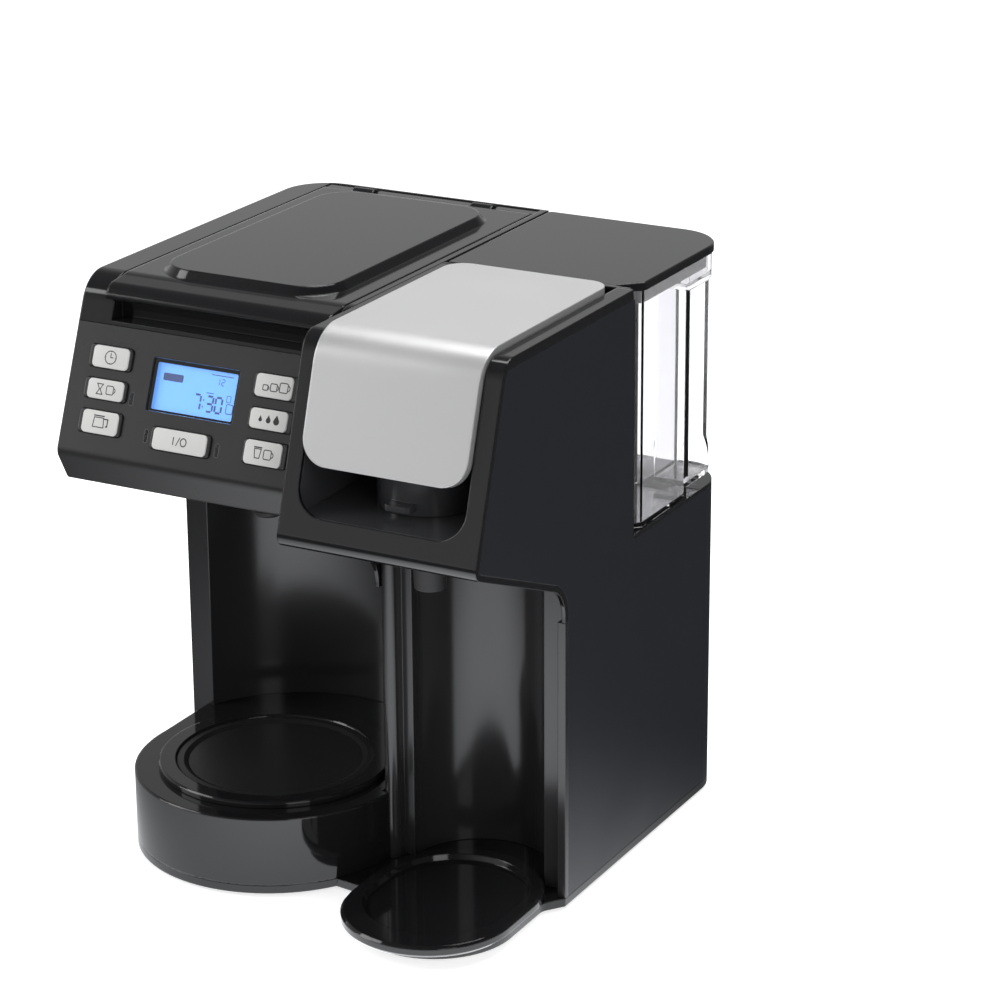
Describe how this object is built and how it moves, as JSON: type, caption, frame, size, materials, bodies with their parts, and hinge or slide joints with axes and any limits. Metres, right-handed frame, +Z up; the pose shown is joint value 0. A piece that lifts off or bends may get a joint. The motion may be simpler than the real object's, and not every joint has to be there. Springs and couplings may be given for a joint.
{
  "type": "coffee maker",
  "caption": "Drip coffee maker with a carafe bay and warming plate beside a single-serve bay with a cup rest, a sloping control panel, two hinged lids and a lift-out clear water tank.",
  "frame": {"origin": "On the worktop under the middle of the machine: midway between its sides and midway between the cup rest's front edge and the rear cover.", "axes": "+Z up, +X to the right as one faces the machine, towards the single-serve side, +Y to the back."},
  "size_m": [0.298, 0.329, 0.3594],
  "materials": {
    "aluminium": "satin",
    "board_green": "satin",
    "boiler_steel": "satin",
    "button_grey": "satin",
    "clear_tank": "gloss",
    "display": "gloss",
    "display_glass": "gloss",
    "gloss_black": "gloss",
    "matte_black": "matte",
    "plate_coating": "matte",
    "rubber": "matte",
    "satin_charcoal": "satin",
    "silicone": "matte",
    "silver_paint": "satin",
    "spring_steel": "satin",
    "steel": "satin"
  },
  "bodies": {
    "housing": {"base_plate": "gloss_black", "base_screws": "steel", "boiler": "boiler_steel", "boiler_bracket": "steel", "brew_basket": "matte_black", "brew_deck": "matte_black", "brew_hose": "silicone", "carafe_bay_liner": "gloss_black", "control_board": "board_green", "control_fascia": "gloss_black", "cord_gland": "rubber", "display_module": "display", "display_window": "display_glass", "head_floor": "gloss_black", "heater_bracket": "steel", "hinge_pins": "steel", "indicator_lenses": "clear_tank", "inlet_hose": "silicone", "keypad_mat": "rubber", "left_side_panel": "satin_charcoal", "lower_needle": "steel", "plate_drum": "gloss_black", "plate_heater": "aluminium", "plate_ring": "gloss_black", "plate_thermostat": "matte_black", "pod_holder": "gloss_black", "power_board": "board_green", "pump": "boiler_steel", "pump_mount": "steel", "rear_cover": "satin_charcoal", "right_side_panel": "satin_charcoal", "rubber_feet": "rubber", "serve_bay_liner": "gloss_black", "serve_housing": "gloss_black", "serve_spout": "matte_black", "serve_tub": "gloss_black", "tank_recess_wall": "gloss_black", "top_cover": "gloss_black", "warming_plate": "plate_coating", "well_inlet": "matte_black", "well_liner": "gloss_black"},
    "basket_lid": {"basket_lid": "gloss_black", "shower_head": "matte_black"},
    "serve_lid": {"serve_lid_shell": "silver_paint", "serve_lid_carrier": "gloss_black", "upper_needle": "steel", "needle_seal": "rubber"},
    "cup_rest": {"cup_rest": "gloss_black"},
    "water_tank": {"water_tank": "clear_tank"},
    "tank_lid": {"tank_lid": "gloss_black"},
    "tank_valve": {"tank_valve": "matte_black", "valve_spring": "spring_steel"},
    "drip_stop": {"drip_stop": "matte_black"},
    "clock_button": {"clock_button": "button_grey"},
    "delay_button": {"delay_button": "button_grey"},
    "carafe_button": {"carafe_button": "button_grey"},
    "brew_button": {"brew_button": "button_grey"},
    "size_button": {"size_button": "button_grey"},
    "strength_button": {"strength_button": "button_grey"},
    "single_button": {"single_button": "button_grey"}
  },
  "joints": [
    {"name": "basket_lid_hinge", "type": "hinge", "parent": "housing", "child": "basket_lid", "pos_m": [-0.06, 0.1562, 0.3505], "axis": [-1, 0, 0], "range_deg": [0, 95]},
    {"name": "serve_lid_hinge", "type": "hinge", "parent": "housing", "child": "serve_lid", "pos_m": [0.0861, 0.0185, 0.3498], "axis": [-1, 0, 0], "range_deg": [0, 85]},
    {"name": "cup_rest_slide", "type": "slide", "parent": "housing", "child": "cup_rest", "axis": [0, -1, 0], "range_m": [0, 0.14]},
    {"name": "tank_lift", "type": "slide", "parent": "housing", "child": "water_tank", "axis": [0, 0, 1], "range_m": [0, 0.2]},
    {"name": "tank_lid_lift", "type": "slide", "parent": "water_tank", "child": "tank_lid", "axis": [0, 0, 1], "range_m": [0, 0.06]},
    {"name": "tank_valve_slide", "type": "slide", "parent": "water_tank", "child": "tank_valve", "axis": [0, 0, 1], "range_m": [0, 0.003], "stiffness_N_per_m": 400, "springref_m": -0.002, "deforming": ["valve_spring"]},
    {"name": "drip_stop_slide", "type": "slide", "parent": "housing", "child": "drip_stop", "axis": [0, 0, 1], "range_m": [0, 0.004], "stiffness_N_per_m": 300, "springref_m": -0.002},
    {"name": "clock_press", "type": "slide", "parent": "housing", "child": "clock_button", "axis": [0, 0.9298, -0.3681], "range_m": [0, 0.001], "stiffness_N_per_m": 800, "springref_m": -0.001},
    {"name": "delay_press", "type": "slide", "parent": "housing", "child": "delay_button", "axis": [0, 0.9298, -0.3681], "range_m": [0, 0.001], "stiffness_N_per_m": 800, "springref_m": -0.001},
    {"name": "carafe_press", "type": "slide", "parent": "housing", "child": "carafe_button", "axis": [0, 0.9298, -0.3681], "range_m": [0, 0.001], "stiffness_N_per_m": 800, "springref_m": -0.001},
    {"name": "brew_press", "type": "slide", "parent": "housing", "child": "brew_button", "axis": [0, 0.9298, -0.3681], "range_m": [0, 0.001], "stiffness_N_per_m": 800, "springref_m": -0.001},
    {"name": "size_press", "type": "slide", "parent": "housing", "child": "size_button", "axis": [0, 0.9298, -0.3681], "range_m": [0, 0.001], "stiffness_N_per_m": 800, "springref_m": -0.001},
    {"name": "strength_press", "type": "slide", "parent": "housing", "child": "strength_button", "axis": [0, 0.9298, -0.3681], "range_m": [0, 0.001], "stiffness_N_per_m": 800, "springref_m": -0.001},
    {"name": "single_press", "type": "slide", "parent": "housing", "child": "single_button", "axis": [0, 0.9298, -0.3681], "range_m": [0, 0.001], "stiffness_N_per_m": 800, "springref_m": -0.001}
  ]
}
